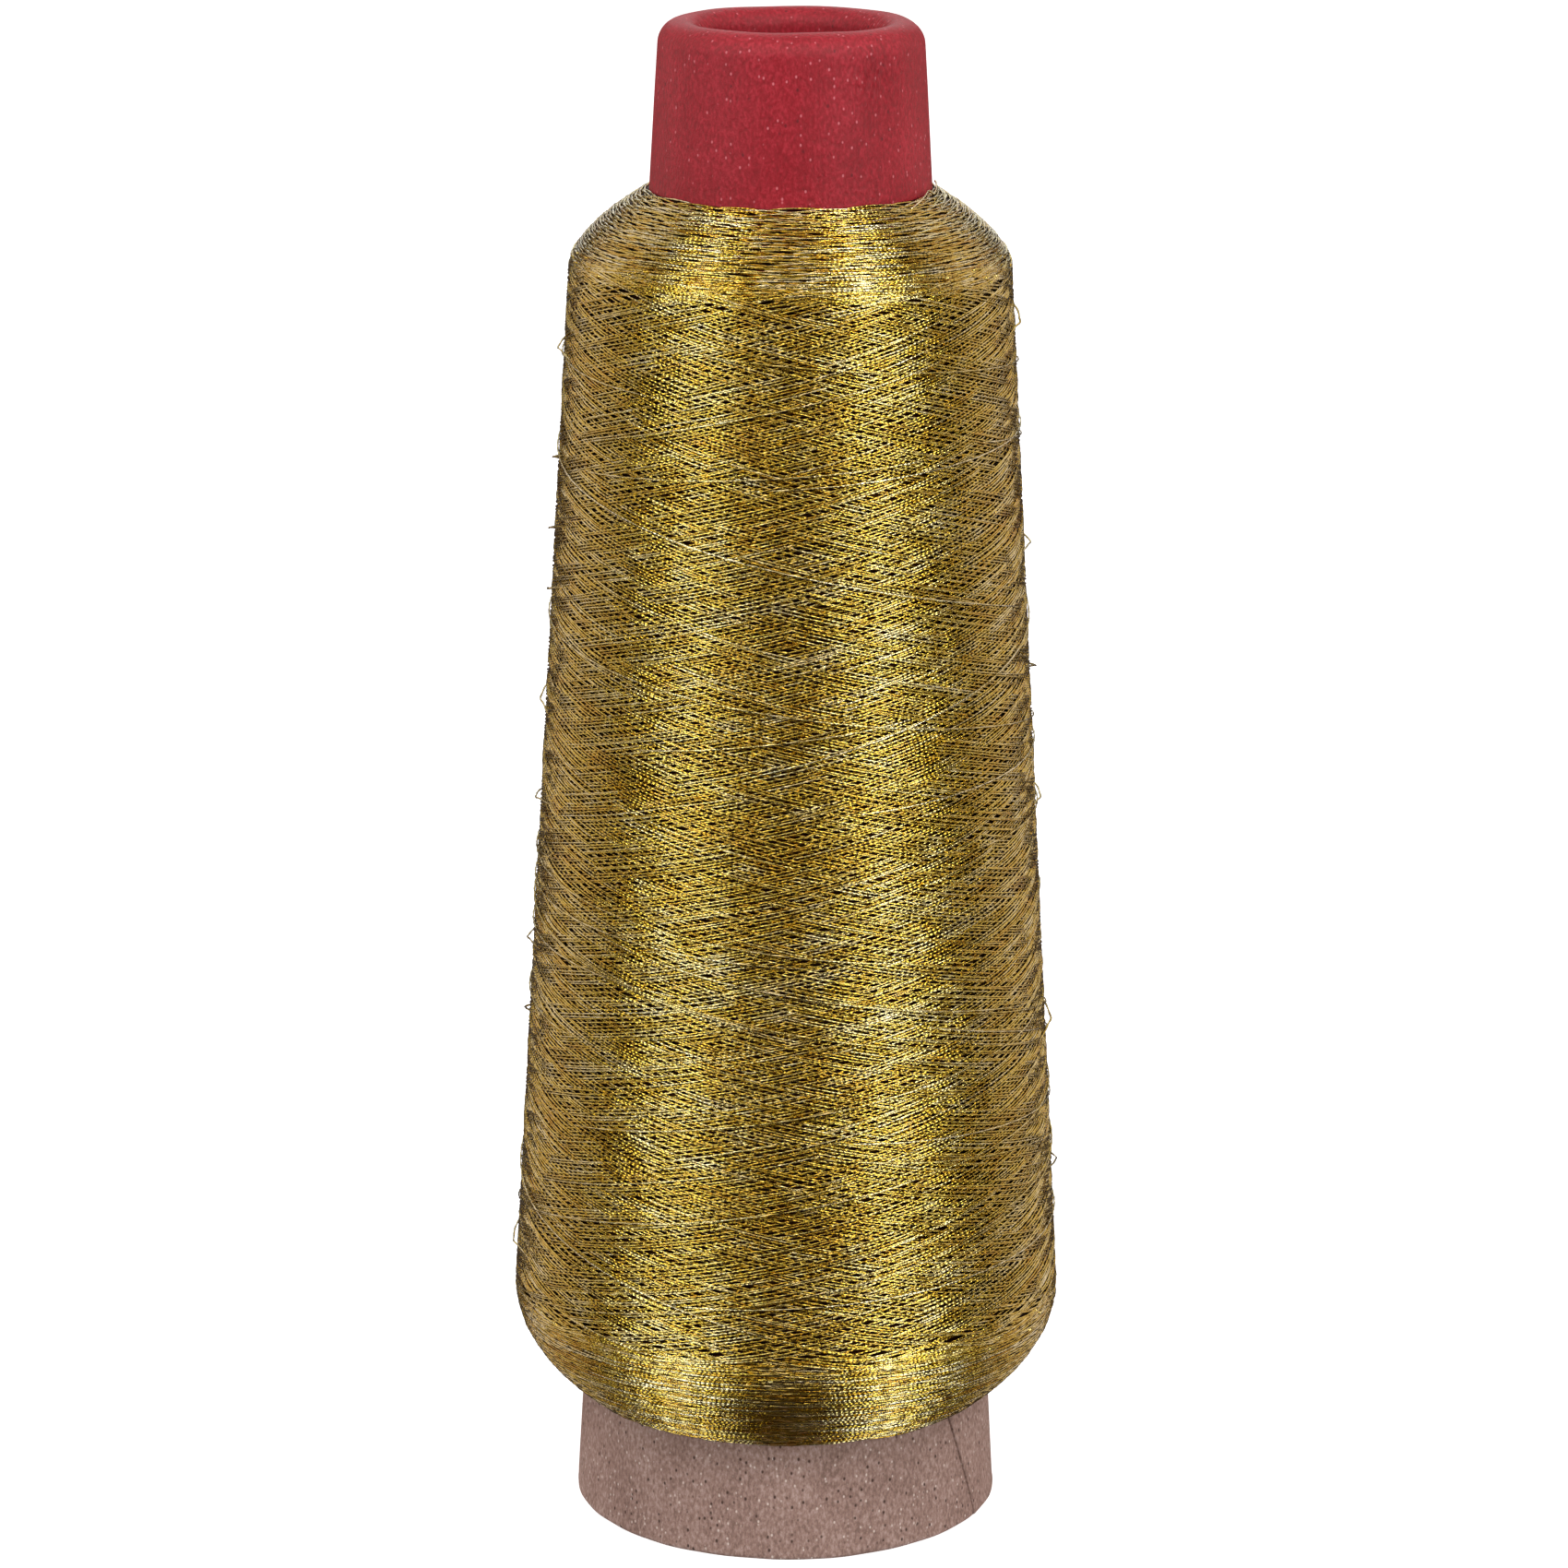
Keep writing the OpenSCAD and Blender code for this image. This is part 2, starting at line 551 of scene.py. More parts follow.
@dataclass(frozen=True)
class Board:
    """Laminated paper board, rolled with its fibres up the cone.

    Recycled pulp leaves fine streaks along the fibres, pale flecks of white paper and
    dark flecks of ink. A draw below 1 stretches a pattern up the cone by that much.
    """

    name: str
    dark: str
    body: str
    light: str
    pale_fleck: str
    dark_fleck: str
    pale_share: float
    dark_share: float
    roughness: float
    fibre_draw: float = 0.2
    fibre_mm: float = 0.35
    cloud_mm: float = 5.0
    cloud_share: float = 0.25
    darkest: float = 0.47
    lightest: float = 0.78
    fleck_draw: float = 0.7
    pale_fleck_mm: float = 0.5
    dark_fleck_mm: float = 0.65
    fleck_core: float = 0.14
    fleck_rim: float = 0.3
    relief_mm: float = 0.16

    def flecks(self, tree: Tree, vector: Socket, size_mm: float, share: float) -> Socket:
        """Scatter flecks over the board.

        Args:
            tree: The material's node tree.
            vector: Coordinates, drawn out along the fibres.
            size_mm: Spacing of the cells that may hold a fleck.
            share: The part of the cells that do hold one.

        Returns:
            A factor that is 1 inside a fleck.
        """
        inputs = {"Vector": vector, "Scale": 1.0 / (size_mm * MM)}
        cells = add_node(tree, "ShaderNodeTexVoronoi", inputs)
        random = add_node(tree, "ShaderNodeSeparateColor", {0: cells.outputs["Color"]})
        chosen = maths(tree, "LESS_THAN", random.outputs[0], share)
        fleck = (self.fleck_core, self.fleck_rim)
        near = spread(tree, cells.outputs["Distance"], fleck, (1.0, 0.0))
        return maths(tree, "MULTIPLY", near, chosen)

    def material(self) -> Material:
        """Make the board's material.

        Returns:
            The board, with fibres, cloudiness and flecks.
        """
        material, tree, shader = new_material(self.name)
        place = object_place(tree)
        drawn, short = (
            add_node(tree, "ShaderNodeMapping", {"Vector": place, "Scale": (1.0, 1.0, draw)})
            .outputs["Vector"]
            for draw in (self.fibre_draw, self.fleck_draw)
        )
        fibres = noise(tree, drawn, self.fibre_mm, 6.0, roughness=0.62)
        clouds = noise(tree, drawn, self.cloud_mm, 3.0)
        blend = maths(tree, "MULTIPLY_ADD", clouds, self.cloud_share, fibres)
        colour = colour_ramp(
            tree, spread(tree, blend, (self.darkest, self.lightest)),
            [(0.0, self.dark), (0.5, self.body), (1.0, self.light)],
        )
        for size_mm, share, code in (
            (self.pale_fleck_mm, self.pale_share, self.pale_fleck),
            (self.dark_fleck_mm, self.dark_share, self.dark_fleck),
        ):
            fleck = self.flecks(tree, short, size_mm, share)
            inputs = {0: fleck, 6: colour, 7: linear(code)}
            colour = add_node(tree, "ShaderNodeMix", inputs, data_type="RGBA").outputs[2]
        emboss(tree, shader, fibres, 0.8, self.relief_mm)
        rough = spread(tree, fibres, (0.0, 1.0), (self.roughness - 0.1, self.roughness + 0.1))
        fill(tree, shader, {"Base Color": colour, "Roughness": rough, "IOR": 1.45})
        return material


DYED_BOARD = Board(
    name="red_dyed_cone_board", dark="8A0C1A", body="9E1424", light="B62636",
    pale_fleck="D4707A", dark_fleck="700E1A", pale_share=0.16, dark_share=0.08,
    roughness=0.5, fibre_draw=0.6,
)
RECYCLED_BOARD = Board(
    name="recycled_grey_cone_board", dark="846A60", body="A18378", light="BCA298",
    pale_fleck="DCCCC2", dark_fleck="4E3A34", pale_share=0.22, dark_share=0.3,
    roughness=0.85, fibre_draw=0.55,
)
LINER_BOARD = Board(
    name="cone_liner_board", dark="857066", body="A38E82", light="B8A79C",
    pale_fleck="E0D6CC", dark_fleck="4A3A34", pale_share=0.08, dark_share=0.10,
    roughness=0.88,
)


# ---- the paper cone


@dataclass
class PaperCone:
    """The laminated cone: bare base with its lap seam, and the dyed, curled nose.

    Lengths and heights are in millimetres, directions in degrees from the front.
    """

    shape: ConeShape
    columns: int = 720
    seam_azimuth: float = 58.0
    seam_slant: float = 21.0
    seam_top: float = 16.0
    seam_gap_mm: float = 0.16
    seam_depth_mm: float = 0.3
    seam_step_mm: float = 0.1
    lap_fade_mm: float = 2.5
    crease_azimuth: float = 40.5
    crease_low: float = 7.5
    crease_high: float = 13.5
    crease_depth_mm: float = 0.07
    crease_width_mm: float = 0.14
    worn_height: float = 1.6
    rim_low: float = 163.0
    rim_wander_mm: float = 0.09
    rim_sag_mm: float = 0.07
    pucker_r: float = 13.0
    pucker_mm: float = 0.05
    crinkle_mm: float = 0.16
    crinkle_azimuth: float = 35.0
    crinkle_z: float = 165.0

    def revolve(
        self, name: str, outline: np.ndarray, material: Material,
        angles: np.ndarray, twist: np.ndarray,
    ) -> bpy.types.Object:
        """Sweep a closed outline round the axis.

        Args:
            name: The object's name.
            outline: Rows of radius and height, in millimetres, that close on themselves.
            material: The object's material.
            angles: Directions of the columns, in radians.
            twist: How far each outline point's columns are turned, in radians.

        Returns:
            The swept object. Its points run column by column.
        """
        rows, cols = len(outline), len(angles)
        turned = angles[:, None] + twist
        radius, height = (np.broadcast_to(line, turned.shape) for line in outline.T)
        points = np.stack([radius * np.sin(turned), -radius * np.cos(turned), height], axis=-1)
        row, col = np.meshgrid(np.arange(rows), np.arange(cols))
        next_row, next_col = (row + 1) % rows, (col + 1) % cols
        here, up = col * rows + row, col * rows + next_row
        across, both = next_col * rows + row, next_col * rows + next_row
        quads = np.stack([here, across, both, up], axis=-1).reshape(-1, 4)
        return mesh_piece(name, points.reshape(-1, 3) * MM, quads, material)

    def nose(self) -> bpy.types.Object:
        """Build the dyed nose, a little out of round, with puckers inside its curl.

        Returns:
            The nose.
        """
        shape = self.shape
        outer = shape.board_face(shape.dye_z, 0.0, wall_rows=48)
        inner = shape.board_face(shape.dye_z, shape.ply, wall_rows=16)[::-1]
        outline = np.vstack([outer, inner])
        angles = np.linspace(0.0, TURN, self.columns, endpoint=False)
        piece = self.revolve("dyed_curled_nose", outline, DYED_BOARD.material(), angles,
                             np.zeros(len(outline)))
        x, y, z = vertex_places(piece.data).T
        angle, radius = np.arctan2(x, -y), np.hypot(x, y)
        rim = np.clip((z - self.rim_low) / 5.0, 0.0, 1.0)
        wander = (0.5 * np.sin(2 * angle + 0.7) + 0.3 * np.sin(5 * angle + 2.1)
                  + 0.2 * np.sin(11 * angle + 4.0))
        inside = np.clip((self.pucker_r - radius) / 2.5, 0.0, 1.0) * rim
        pucker = np.abs(np.sin(17 * angle + 1.5 * np.sin(3 * angle))) ** 6
        on_wall = radius > shape.hole_r + shape.curl_r
        out = self.rim_wander_mm * wander * rim + self.pucker_mm * pucker * inside
        out += self.crinkle_mm * self.crinkle(angle, z) * on_wall
        sag = 0.6 * np.sin(3 * angle + 1.0) + 0.4 * np.sin(7 * angle) - 1.0
        push_out(piece.data, out, self.rim_sag_mm * rim * sag)
        return piece

    def crinkle(self, angle: np.ndarray, z: np.ndarray) -> np.ndarray:
        """Small folds pressed into the board where the curl was rolled over.

        Args:
            angle: Directions in radians, from the front towards the right.
            z: Heights.

        Returns:
            Heights of the folds, from -1 to 1, fading out round their patch.
        """
        aside = (np.degrees(angle) - self.crinkle_azimuth) / 15.0
        above = (z - self.crinkle_z) / 3.2
        patch = np.exp(-(aside**2) - above**2)
        folds = np.sin(95.0 * angle + 1.7 * np.sin(1.3 * z) + 2.0 * np.sin(21.0 * angle))
        return patch * folds * np.sin(2.6 * z + 2.5 * np.sin(33.0 * angle))

    def base(self) -> bpy.types.Object:
        """Build the bare outer ply, with its slanted lap seam, a crease and a worn edge.

        Returns:
            The outer ply.
        """
        shape = self.shape
        round_r = shape.base_round
        corner = np.linspace(-math.pi / 2, 0.0, 8)
        edge = np.column_stack([
            shape.wall_r(0.0) - round_r + round_r * np.cos(corner),
            round_r + round_r * np.sin(corner),
        ])
        hidden_z = 60.0
        heights = np.concatenate([np.linspace(1.0, self.seam_top, 48), [hidden_z, shape.dye_z]])
        wall = np.column_stack([shape.wall_r(heights), heights])
        back_z = np.array([shape.dye_z, hidden_z, self.seam_top, 0.0])
        back = np.column_stack([shape.wall_r(back_z, shape.ply), back_z])
        outline = np.vstack([edge, wall, back])
        # The columns follow the seam's slant up to the thread, with extra ones at its edges.
        slant = math.tan(math.radians(self.seam_slant)) / shape.base_r
        middle_z = 7.0
        twist = -slant * (np.clip(outline[:, 1], 0.0, self.seam_top) - middle_z)
        gap = self.seam_gap_mm / 2 / shape.base_r
        near = gap * np.array([-3.0, -1.6, -1.0, -0.5, 0.0, 0.5, 1.0, 1.6, 3.0])
        rest = np.linspace(near[-1], TURN + near[0], self.columns)[1:-1]
        offsets = np.concatenate([near, rest])
        piece = self.revolve("bare_outer_ply", outline, RECYCLED_BOARD.material(),
                             offsets + math.radians(self.seam_azimuth), twist)
        self.wear(piece, offsets, outline, twist)
        return piece

    def wear(
        self, piece: bpy.types.Object, offsets: np.ndarray, outline: np.ndarray,
        twist: np.ndarray,
    ) -> None:
        """Press the seam, the lap's step, the crease and the edge's wear into the ply.

        Args:
            piece: The swept outer ply.
            offsets: Directions of the columns from the seam, in radians.
            outline: Rows of radius and height.
            twist: How far each outline point's columns are turned, in radians.
        """
        shape = self.shape
        wall_rows = len(outline) - 4
        along = offsets[:, None] * shape.base_r
        height = outline[None, :, 1]
        gap = self.seam_gap_mm / 2
        seam = -self.seam_depth_mm * np.clip(1.5 - np.abs(along) / gap, 0.0, 1.0)
        lap = self.seam_step_mm * np.where(along > 0, np.exp(-along / self.lap_fade_mm), 0.0)
        angle = offsets[:, None] + math.radians(self.seam_azimuth) + twist[None, :]
        crease_at = math.radians(self.crease_azimuth) + 0.02 * np.sin(height / 2.0)
        aside = angle - crease_at
        crease_x = (aside - TURN * np.round(aside / TURN)) * shape.base_r
        window = (np.clip((height - self.crease_low) / 1.5, 0, 1)
                  * np.clip(self.crease_high - height, 0, 1))
        groove = np.exp(-((crease_x / self.crease_width_mm) ** 2))
        crease = -self.crease_depth_mm * groove * window
        edge = np.clip(1.0 - height / self.worn_height, 0, 1)
        nick = 0.05 * np.sin(9 * angle + 0.4) + 0.04 * np.sin(23 * angle + 1.9)
        round_wander = 0.05 * np.sin(2 * angle + 1.1) + 0.03 * np.sin(6 * angle) - 0.05
        out = seam + lap + crease + edge * nick + round_wander
        # The ply's inner face stays on the ply behind it.
        out[:, wall_rows:] = 0.0
        push_out(piece.data, out.ravel())

    def make(self, nodes: dict[str, bpy.types.Object]) -> None:
        """Build the nose and base, and dress the plies behind them.

        Args:
            nodes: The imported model's nodes.
        """
        settle(self.nose(), "dyed_board", "dyed_nose")
        settle(self.base(), "recycled_board", "outer_ply")
        liner = LINER_BOARD.material()
        for name in ("inner_ply", "middle_ply"):
            dress_node(nodes[name], liner)


# ---- the thread


@dataclass
class StrandBundle:
    """Many thin strands gathered into one mesh."""

    name: str
    width_mm: float = 0.25
    thickness_mm: float = 0.24
    twist_mm: float = 9.0
    map_columns: int = 64
    map_inset: float = 0.12
    rings: list[np.ndarray] = field(default_factory=list)
    tones: list[np.ndarray] = field(default_factory=list)
    alongs: list[np.ndarray] = field(default_factory=list)
    lengths: list[int] = field(default_factory=list)

    def add(self, path: np.ndarray, tone: float, phase: float) -> None:
        """Sweep one strand along a path.

        Args:
            path: Rows of x, y and z in millimetres.
            tone: How pale the strand is, from 0 to 1.
            phase: Turn of the flat film at the path's start, in radians.
        """
        ahead = unit_rows(np.gradient(path, axis=0))
        side = unit_rows(np.cross(ahead, unit_rows(path * np.array([1.0, 1.0, 0.0]))))
        out = np.cross(side, ahead)
        steps = np.linalg.norm(np.diff(path, axis=0), axis=1)
        along = np.concatenate([[0.0], np.cumsum(steps)])
        turn = phase + TURN * along / self.twist_mm
        wide = np.cos(turn)[:, None] * side + np.sin(turn)[:, None] * out
        thin = -np.sin(turn)[:, None] * side + np.cos(turn)[:, None] * out
        corner = TURN * (np.arange(STRAND_SIDES) + 0.5) / STRAND_SIDES
        ring = (
            path[:, None, :]
            + self.width_mm / 2 * np.cos(corner)[None, :, None] * wide[:, None, :]
            + self.thickness_mm / 2 * np.sin(corner)[None, :, None] * thin[:, None, :]
        )
        self.rings.append(ring.reshape(-1, 3))
        self.tones.append(np.full(len(path) * STRAND_SIDES, tone))
        self.alongs.append(np.repeat(along, STRAND_SIDES))
        self.lengths.append(len(path))

    def quads(self) -> np.ndarray:
        """Join the rings of each strand and close its ends.

        Returns:
            Vertex numbers, four to a row, walls first and then the end faces.
        """
        walls, ends, start = [], [], 0
        sides = STRAND_SIDES
        corner = np.arange(sides)
        for rings in self.lengths:
            base = start + np.arange(rings - 1)[:, None] * sides
            a, b = base + corner, base + (corner + 1) % sides
            walls.append(np.stack([a, b, b + sides, a + sides], axis=-1).reshape(-1, 4))
            ends.append(start + corner[::-1])
            start += rings * sides
            ends.append(start - sides + corner)
        return np.vstack([*walls, np.array(ends)])

    def lay_out(self, mesh: bpy.types.Mesh, quads: np.ndarray) -> None:
        """Give each quad its own cell of a square map.

        Args:
            mesh: The bundle's mesh.
            quads: Its quads.
        """
        columns = self.map_columns * STRAND_SIDES
        rows = math.ceil(len(quads) / columns)
        number = np.arange(len(quads))
        side = number % STRAND_SIDES
        left = number // STRAND_SIDES % self.map_columns + side * self.map_columns
        low = number // columns
        near, far = self.map_inset, 1 - self.map_inset
        corners = np.array([[near, near], [far, near], [far, far], [near, far]])
        cells = np.stack([left, low], axis=-1)[:, None, :] + corners[None]
        cells = cells / np.array([columns, rows])
        layer = mesh.uv_layers.new(name="OFBake")
        layer.data.foreach_set("uv", cells.astype(np.float32).ravel())

    def build(self, material: Material) -> bpy.types.Object:
        """Make the bundle's object.

        Args:
            material: The strands' material.

        Returns:
            One object with every strand, and their "tone" and "along" attributes.
        """
        quads = self.quads()
        piece = mesh_piece(self.name, np.vstack(self.rings) * MM, quads, material)
        for name, values in (("tone", self.tones), ("along", self.alongs)):
            attribute = piece.data.attributes.new(name, "FLOAT", "POINT")
            attribute.data.foreach_set("value", np.concatenate(values).astype(np.float32))
        self.lay_out(piece.data, quads)
        return piece


class End(Enum):
    """The two tapered ends of the package."""

    LOWER = "lower"
    UPPER = "upper"


@dataclass
class WoundThread:
    """Thread that is laid on the cone, with all that any stretch of it needs."""

    shape: ConeShape
    film: Material
    # The seeded source of every small irregularity.
    random: np.random.Generator


@dataclass
class CrossWinding(WoundThread):
    """The outer turns of the package: one thread, wound up and down in crossing helices.

    Rising and falling turns both cover the package. Where they cross, a few
    neighbours at a time ride over or under the others.
    """

    strands: int = 114
    # Turns in one rise and fall. The odd part lays each strand beside an older one.
    advance: float = 5 + 103 / 114
    middle_mm: float = 84.5
    reach_mm: float = 59.5
    scatter_mm: float = 1.0
    stray_share: float = 0.34
    under_mm: float = 0.13
    over_mm: float = 0.34
    lift_waver_mm: float = 0.01
    drift_mm: float = 0.05
    patch_strands: float = 3.0
    sharpness: float = 2.5
    step: float = math.radians(2.2)
    pieces: int = 6
    patches: np.ndarray = field(init=False)

    def over_or_under(self, rising: np.ndarray, falling: np.ndarray) -> np.ndarray:
        """Tell which lay is on top where two turns cross.

        Args:
            rising: Places of rising turns round the package, counted in strands.
            falling: Places of falling turns.

        Returns:
            Near 1 where the rising turn is on top, near 0 where the falling one is.
        """
        cells = self.patches.shape[0]
        a, b = (np.asarray(v) * cells / self.strands % cells for v in (rising, falling))
        i, j = a.astype(int) % cells, b.astype(int) % cells
        fa, fb = a - np.floor(a), b - np.floor(b)
        i2, j2 = (i + 1) % cells, (j + 1) % cells
        value = ((self.patches[i, j] * (1 - fa) + self.patches[i2, j] * fa) * (1 - fb)
                 + (self.patches[i, j2] * (1 - fa) + self.patches[i2, j2] * fa) * fb)
        return 0.5 + 0.5 * np.tanh(self.sharpness * value)

    def traverse(self, low: float, high: float) -> tuple[np.ndarray, np.ndarray]:
        """The helix between two reversals, with a round bend at each.

        Every traverse turns through the same angle. One that reverses early has a
        longer bend, so neighbours stay side by side.

        Args:
            low: Height of the lower reversal.
            high: Height of the upper reversal.

        Returns:
            Angles turned from the package's middle height, and heights.
        """
        half = self.advance * TURN / 4
        turned = np.linspace(-half, half, int(2 * half / self.step) + 1)
        reaches = (self.middle_mm - low, high - self.middle_mm)
        bends = [2 * (half - reach / CLIMB_MM) for reach in reaches]
        short = [np.clip(bend - side, 0.0, None) ** 2 / (2 * bend)
                 for bend, side in zip(bends, (half + turned, half - turned))]
        return turned, self.middle_mm + CLIMB_MM * (turned + short[0] - short[1])

    def lift(self, lay: int, place: int, turned: np.ndarray) -> np.ndarray:
        """How high a turn lies over the bedded thread.

        Args:
            lay: 1 for a rising turn, -1 for a falling one.
            place: The turn's place round the package, counted in strands.
            turned: Angles from the package's middle height.

        Returns:
            A lift in millimetres for each angle.
        """
        crossed = -(2.0 * turned / TURN * self.strands + place) % self.strands
        own = np.full_like(crossed, place)
        if lay > 0:
            newer = self.over_or_under(own, crossed)
        else:
            newer = 1 - self.over_or_under(crossed, own)
        return self.under_mm + (self.over_mm - self.under_mm) * newer

    def make(self) -> None:
        """Wind the thread, split into pieces of bearable size."""
        random = self.random
        cells = round(self.strands / self.patch_strands)
        self.patches = random.uniform(-1.0, 1.0, (cells, cells))
        order = [(lay, place) for place in range(self.strands) for lay in (1, -1)]
        for part in range(self.pieces):
            bundle = StrandBundle(f"cross_winding_{part + 1}")
            for lay, place in order[part :: self.pieces]:
                low, high = (
                    self.middle_mm + side * self.reach_mm + random.uniform(-1, 1) * self.scatter_mm
                    for side in (-1, 1)
                )
                turned, z = self.traverse(low, high)
                stray = random.uniform(-self.stray_share, self.stray_share)
                start = TURN * (place + stray) / self.strands
                lift = self.lift(lay, place, turned)
                lift = lift + self.lift_waver_mm * waver(turned, 5.0, 45.0, random)
                drift = self.drift_mm * waver(turned, 1.0, 12.0, random)
                path = self.shape.over_package(lay * (turned + start), z + drift, lift)
                tone = random.uniform(0.2, 0.8)
                bundle.add(path, tone, random.uniform(0.0, TURN))
            settle(bundle.build(self.film), "bedded_thread")


@dataclass
class TaperTurns(WoundThread):
    """The bends that older traverses leave on one tapered end of the package."""

    end: End
    # Angle over which a traverse bends back, in radians.
    reversal: float
    pitch_mm: float = 0.31
    cover: float = 2.8
    width_mm: float = 0.26
    thickness_mm: float = 0.23
    lift_mm: float = 0.2
    # How far a bend's ends lie from its peak, and how much of that they sink under others.
    drop_mm: float = 1.05
    sink_share: float = 0.62
    shown_share: float = 0.7
    rings: int = 21
    pieces: int = 2

    def make(self) -> None:
        """Lay the bends from the board outwards."""
        shape, random = self.shape, self.random
        if self.end is End.LOWER:
            reach, contact, sign = shape.low_taper, shape.low_z, 1.0
        else:
            reach, contact, sign = shape.high_taper, shape.high_z, -1.0
        half = math.sqrt(self.drop_mm * 2 * self.reversal / CLIMB_MM)
        slant = math.hypot(reach, shape.build)
        mean_r = shape.wall_r(contact) + shape.build / 2
        shown = 2 * half * mean_r * self.shown_share
        count = int(self.cover * slant / self.pitch_mm * TURN * mean_r / shown)
        bundles = [
            StrandBundle(
                f"{self.end.value}_taper_turns_{part + 1}", self.width_mm, self.thickness_mm
            )
            for part in range(self.pieces)
        ]
        golden = TURN * (math.sqrt(5.0) - 1.0) / 2.0
        for i in range(count):
            share = (i + random.uniform(0.0, 1.0)) / count
            peak = contact + sign * reach * share
            middle = golden * i + random.uniform(-0.05, 0.05)
            turned = np.linspace(-half, half, self.rings)
            fall = CLIMB_MM * turned**2 / (2 * self.reversal)
            z = peak + sign * fall + 0.02 * waver(turned, 2.0, 8.0, random)
            lift = self.lift_mm + random.uniform(-0.03, 0.05) - self.sink_share * fall
            lift = lift + 0.008 * waver(turned, 6.0, 30.0, random)
            path = shape.over_package(middle + turned, z, lift)
            bundles[i % self.pieces].add(path, random.uniform(0.0, 1.0), random.uniform(0.0, TURN))
        for bundle in bundles:
            settle(bundle.build(self.film), "bedded_thread")


@dataclass
class LooseTurns(WoundThread):
    """The last strands: stray ones over the package, slack ones at its sides."""

    strays: int = 34
    lowest: float = 24.0
    highest: float = 145.0
    stray_lift_mm: float = 0.05
    stray_rise_mm: float = 0.50
    slack_mm: float = 0.74
    slack_lift_mm: float = 0.12
    slack_half: float = math.radians(15.0)
    kink_mm: float = 0.22
    slack_turns: int = 6
    # Directions in degrees and heights of more arches among the stray turns.
    arches: tuple[tuple[float, float], ...] = (
        (-86.0, 83.0), (-90.0, 66.0), (-85.0, 31.0), (-93.0, 94.0), (-87.0, 134.0),
        (90.0, 112.0), (87.0, 40.0), (92.0, 83.0), (88.0, 98.0), (150.0, 70.0), (-150.0, 120.0),
    )

    def stray_strands(self) -> None:
        """Lay single strands that cross the others at odd angles."""
        random = self.random
        bundle = StrandBundle("last_stray_turns", width_mm=0.25, thickness_mm=0.21)
        for _ in range(self.strays):
            start = random.uniform(0.0, TURN)
            length = random.uniform(1.2, 4.5)
            z0 = random.uniform(30.0, 138.0)
            climb = random.choice([-1.0, 1.0]) * random.uniform(1.2, 7.5)
            turned = np.linspace(0.0, length, int(length / 0.06))
            share = turned / length
            ends = np.clip(np.minimum(share, 1 - share) * 9.0, 0.0, 1.0)
            z = np.clip(z0 + climb * (turned - length / 2), self.lowest, self.highest)
            lift = self.stray_lift_mm + self.stray_rise_mm * ends + 0.02 * np.sin(turned * 9.0)
            path = self.shape.over_package(start + turned, z, lift)
            bundle.add(path, random.uniform(0.6, 1.0), random.uniform(0.0, TURN))
        for degrees, z in self.arches:
            climb = random.uniform(-2.0, 2.0)
            bundle.add(self.arched(math.radians(degrees), z, climb), 0.7, 0.0)
        settle(bundle.build(self.film), "loose_thread", "last_traverse_up", "last_traverse_down")

    def arched(self, azimuth: float, z: float, climb: float) -> np.ndarray:
        """The path of a turn that has slackened and stands off in a kinked arch.

        Args:
            azimuth: Direction of the arch's middle, in radians.
            z: Height of its middle.
            climb: How far it climbs to each side.

        Returns:
            One row of x, y and z for each point.
        """
        share = np.linspace(-1.0, 1.0, 40)
        arch = np.cos(share * math.pi / 2) ** 2
        kinked = self.random.uniform(-0.3, 0.3)
        kink = self.kink_mm * np.exp(-((share - kinked) / 0.12) ** 2)
        lift = self.slack_lift_mm + self.slack_mm * arch + kink
        angle = azimuth + self.slack_half * share
        return self.shape.over_package(angle, z + climb * share - 0.5 * kink, lift)

    def slack_turn(self, node: str) -> None:
        """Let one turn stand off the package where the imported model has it.

        Args:
            node: The CAD node's name.
        """
        low, high = (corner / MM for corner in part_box(node))
        middle = (low + high) / 2
        azimuth = math.atan2(middle.x, -middle.y)
        bundle = StrandBundle(f"loose_{node}")
        bundle.add(self.arched(azimuth, middle.z, (high.z - low.z) / 2), 0.5, 0.0)
        settle(bundle.build(self.film), "loose_thread", node)

    def nose_strand(self) -> None:
        """Take one strand from the nose's side to the front of the shoulder."""
        low, high = (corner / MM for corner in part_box("nose_strand"))
        share = np.linspace(0.0, 1.0, 30)
        at_nose, at_front = math.pi / 2, math.atan2(low.x, -low.y)
        angle = at_nose + share * (at_front - at_nose)
        z = high.z - 0.3 - share * (high.z - low.z - 1.6)
        lift = 0.3 + 0.5 * np.sin(math.pi * share)
        path = self.shape.over_package(angle, z, lift)
        bundle = StrandBundle("nose_to_shoulder_strand")
        bundle.add(path, 0.9, 0.4)
        settle(bundle.build(self.film), "loose_thread", "nose_strand")

    def make(self) -> None:
        """Build every loose strand."""
        self.stray_strands()
        for number in range(1, self.slack_turns + 1):
            self.slack_turn(f"slack_turn_{number}")
        self.nose_strand()


@dataclass
class ThreadPackage:
    """All the thread on the cone."""

    shape: ConeShape
    layers: int = 5
    seed: int = 20

    def make(self, nodes: dict[str, bpy.types.Object]) -> None:
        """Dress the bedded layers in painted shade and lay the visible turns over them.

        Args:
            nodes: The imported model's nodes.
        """
        random = np.random.default_rng(self.seed)
        # The bedded layers get painted shade with painted highlight lines, not the film's own
        # gold.
        shaded = BeddedThread().material()
        for number in range(1, self.layers + 1):
            dress_node(nodes[f"thread_layer_{number}"], shaded)
        common = (self.shape, MetallisedFilm().material(), random)
        TaperTurns(*common, End.LOWER, math.radians(34.0)).make()
        TaperTurns(*common, End.UPPER, math.radians(55.0)).make()
        CrossWinding(*common).make()
        LooseTurns(*common).make()


# ---- the studio


